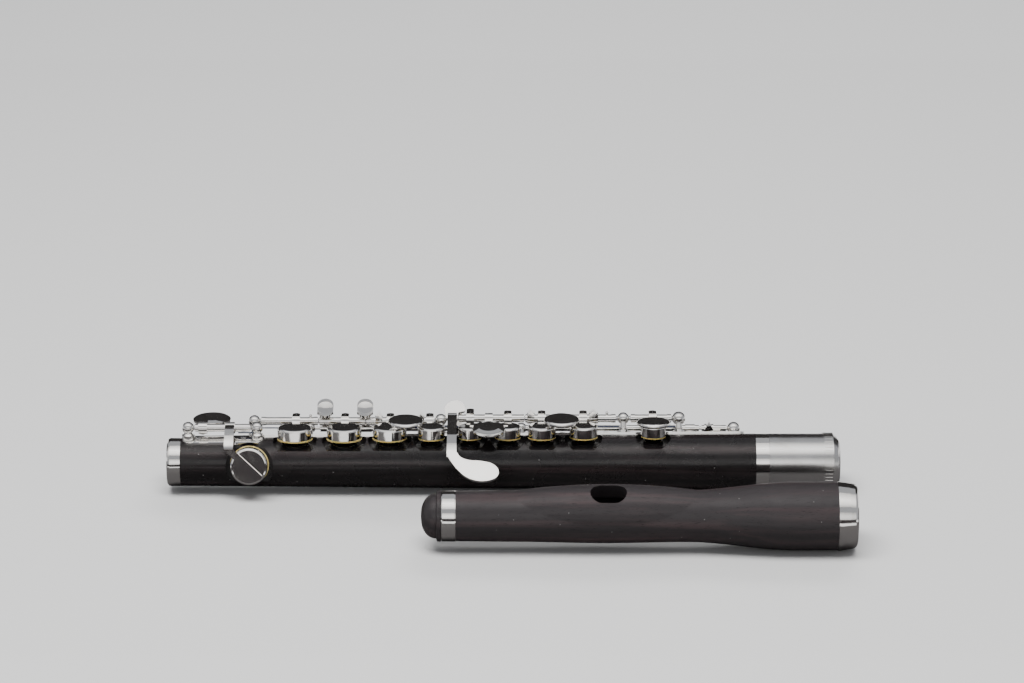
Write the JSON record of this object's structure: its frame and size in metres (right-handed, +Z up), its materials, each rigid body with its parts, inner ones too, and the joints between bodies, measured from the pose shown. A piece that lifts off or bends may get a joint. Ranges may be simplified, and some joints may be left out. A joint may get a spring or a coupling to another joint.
{
  "type": "piccolo flute",
  "caption": "Wooden piccolo taken apart: body joint with silver keywork and capped tenon, lying beside its head joint.",
  "frame": {"origin": "centre of the body joint's bore at its foot end", "axes": "+X along the body joint's bore towards the tenon, +Z up out of the key side, +Y away from the head joint"},
  "size_m": [0.2074, 0.0683, 0.0247],
  "materials": {
    "body_wood": "polished dark hardwood",
    "head_wood": "satin dark hardwood with faint brown streaks",
    "crown_wood": "polished dark hardwood",
    "polished_silver": "mirror-polished silver",
    "satin_silver": "satin silver",
    "steel": "plain bright steel",
    "blued_steel": "blued spring steel",
    "pad_skin": "thin yellow pad skin over felt",
    "brass": "turned brass",
    "cork": "natural cork"
  },
  "bodies": {
    "body_joint": {"body_wood": "body_wood", "foot_ring": "polished_silver", "body_ring": "polished_silver", "tenon_sleeve": "satin_silver", "foot_rib": "polished_silver", "right_rib": "polished_silver", "left_rib": "polished_silver", "rib_screws": "steel", "foot_posts": "polished_silver", "right_posts": "polished_silver", "left_posts": "polished_silver", "trill_posts": "polished_silver", "thumb_posts": "polished_silver", "foot_rod": "steel", "right_rod": "steel", "left_rod": "steel", "c_rod": "steel", "thumb_rod": "steel", "springs": "blued_steel"},
    "tenon_cover": {"tenon_cap": "satin_silver"},
    "d_sharp": {"d_sharp_key": "polished_silver", "d_sharp_pad": "pad_skin"},
    "d": {"d_key": "polished_silver", "d_pad": "pad_skin"},
    "e": {"e_key": "polished_silver", "e_pad": "pad_skin"},
    "f": {"f_key": "polished_silver", "f_pad": "pad_skin"},
    "f_sharp": {"f_sharp_key": "polished_silver", "f_sharp_pad": "pad_skin"},
    "g_sharp": {"g_sharp_key": "polished_silver", "g_sharp_pad": "pad_skin"},
    "g": {"g_key": "polished_silver", "g_pads": "pad_skin"},
    "a": {"a_key": "polished_silver", "a_pad": "pad_skin"},
    "b_flat": {"b_flat_key": "polished_silver", "b_flat_pad": "pad_skin"},
    "c": {"c_key": "polished_silver", "c_pad": "pad_skin"},
    "thumb_b": {"thumb_b_key": "polished_silver", "thumb_b_pad": "pad_skin"},
    "thumb_b_flat": {"thumb_b_flat_key": "polished_silver", "thumb_b_flat_pad": "pad_skin"},
    "trill_d": {"trill_d_key": "polished_silver", "trill_d_pad": "pad_skin"},
    "trill_d_sharp": {"trill_d_sharp_key": "polished_silver", "trill_d_sharp_pad": "pad_skin"},
    "head_joint": {"head_wood": "head_wood", "head_ring": "polished_silver", "crown_ring": "polished_silver", "socket_liner": "polished_silver"},
    "crown_knob": {"crown": "crown_wood"},
    "stopper": {"stopper_screw": "brass", "stopper_cork": "cork", "stopper_plates": "steel"}
  },
  "joints": [
    {"name": "d_hinge", "type": "hinge", "parent": "body_joint", "child": "d", "pos_m": [0.039, 0.0086, 0.0099], "axis": [1, 0, 0], "range_deg": [0, 8], "stiffness_Nm_per_rad": 0.02, "springref_deg": -14.32},
    {"name": "e_hinge", "type": "hinge", "parent": "body_joint", "child": "e", "pos_m": [0.054, 0.0086, 0.0099], "axis": [1, 0, 0], "range_deg": [0, 8], "stiffness_Nm_per_rad": 0.02, "springref_deg": -14.32},
    {"name": "f_hinge", "type": "hinge", "parent": "body_joint", "child": "f", "pos_m": [0.0679, 0.0086, 0.0099], "axis": [1, 0, 0], "range_deg": [0, 8], "stiffness_Nm_per_rad": 0.02, "springref_deg": -14.32},
    {"name": "f_sharp_hinge", "type": "hinge", "parent": "body_joint", "child": "f_sharp", "pos_m": [0.0806, 0.0086, 0.0099], "axis": [1, 0, 0], "range_deg": [0, 8], "stiffness_Nm_per_rad": 0.02, "springref_deg": -14.32},
    {"name": "g_hinge", "type": "hinge", "parent": "body_joint", "child": "g", "pos_m": [0.0981, 0.0086, 0.0108], "axis": [1, 0, 0], "range_deg": [0, 8], "stiffness_Nm_per_rad": 0.02, "springref_deg": -14.32},
    {"name": "a_hinge", "type": "hinge", "parent": "body_joint", "child": "a", "pos_m": [0.116, 0.0086, 0.0108], "axis": [1, 0, 0], "range_deg": [0, 8], "stiffness_Nm_per_rad": 0.02, "springref_deg": -14.32},
    {"name": "b_flat_hinge", "type": "hinge", "parent": "body_joint", "child": "b_flat", "pos_m": [0.127, 0.0086, 0.0108], "axis": [1, 0, 0], "range_deg": [0, 8], "stiffness_Nm_per_rad": 0.02, "springref_deg": -14.32},
    {"name": "c_hinge", "type": "hinge", "parent": "body_joint", "child": "c", "pos_m": [0.1483, 0.0086, 0.0108], "axis": [1, 0, 0], "range_deg": [0, 8], "stiffness_Nm_per_rad": 0.02, "springref_deg": -14.32},
    {"name": "thumb_b_hinge", "type": "hinge", "parent": "body_joint", "child": "thumb_b", "pos_m": [0.133, 0.012, 0.0024], "axis": [1, 0, 0], "range_deg": [-8, 0], "stiffness_Nm_per_rad": 0.02, "springref_deg": 14.32},
    {"name": "thumb_b_flat_hinge", "type": "hinge", "parent": "body_joint", "child": "thumb_b_flat", "pos_m": [0.1425, 0.012, 0.0024], "axis": [1, 0, 0], "range_deg": [-8, 0], "stiffness_Nm_per_rad": 0.02, "springref_deg": 14.32},
    {"name": "d_sharp_hinge", "type": "hinge", "parent": "body_joint", "child": "d_sharp", "pos_m": [0.017, 0.001, 0.0109], "axis": [1, 0, 0], "range_deg": [-10, 0], "stiffness_Nm_per_rad": 0.02, "springref_deg": 14.32},
    {"name": "g_sharp_hinge", "type": "hinge", "parent": "body_joint", "child": "g_sharp", "pos_m": [0.0869, 0.0086, 0.0108], "axis": [1, 0, 0], "range_deg": [0, 4.6], "stiffness_Nm_per_rad": 0.02, "springref_deg": -14.32},
    {"name": "trill_d_hinge", "type": "hinge", "parent": "body_joint", "child": "trill_d", "pos_m": [0.108, 0.013, 0.00564], "axis": [1, 0, 0], "range_deg": [0, 8], "stiffness_Nm_per_rad": 0.02, "springref_deg": -14.32},
    {"name": "trill_d_sharp_hinge", "type": "hinge", "parent": "body_joint", "child": "trill_d_sharp", "pos_m": [0.108, 0.013, 0.00564], "axis": [1, 0, 0], "range_deg": [0, 8], "stiffness_Nm_per_rad": 0.02, "springref_deg": -14.32},
    {"name": "cap_slide", "type": "slide", "parent": "body_joint", "child": "tenon_cover", "axis": [1, 0, 0], "range_m": [0, 0.024]},
    {"name": "head_lift", "type": "slide", "parent": "body_joint", "child": "head_joint", "axis": [0, 0, 1], "range_m": [0, 0.06]},
    {"name": "crown_turn", "type": "hinge", "parent": "head_joint", "child": "crown_knob", "pos_m": [0.0782, -0.043, 0.0013], "axis": [1, 0, 0], "range_deg": [-360, 360]},
    {"name": "stopper_slide", "type": "slide", "parent": "head_joint", "child": "stopper", "axis": [1, 0, 0], "range_m": [-0.0008, 0.0008]}
  ],
  "couplings": [
    {"joint": "f_sharp_hinge", "follows": "f_hinge", "ratio": 1},
    {"joint": "b_flat_hinge", "follows": "a_hinge", "ratio": 1}
  ]
}
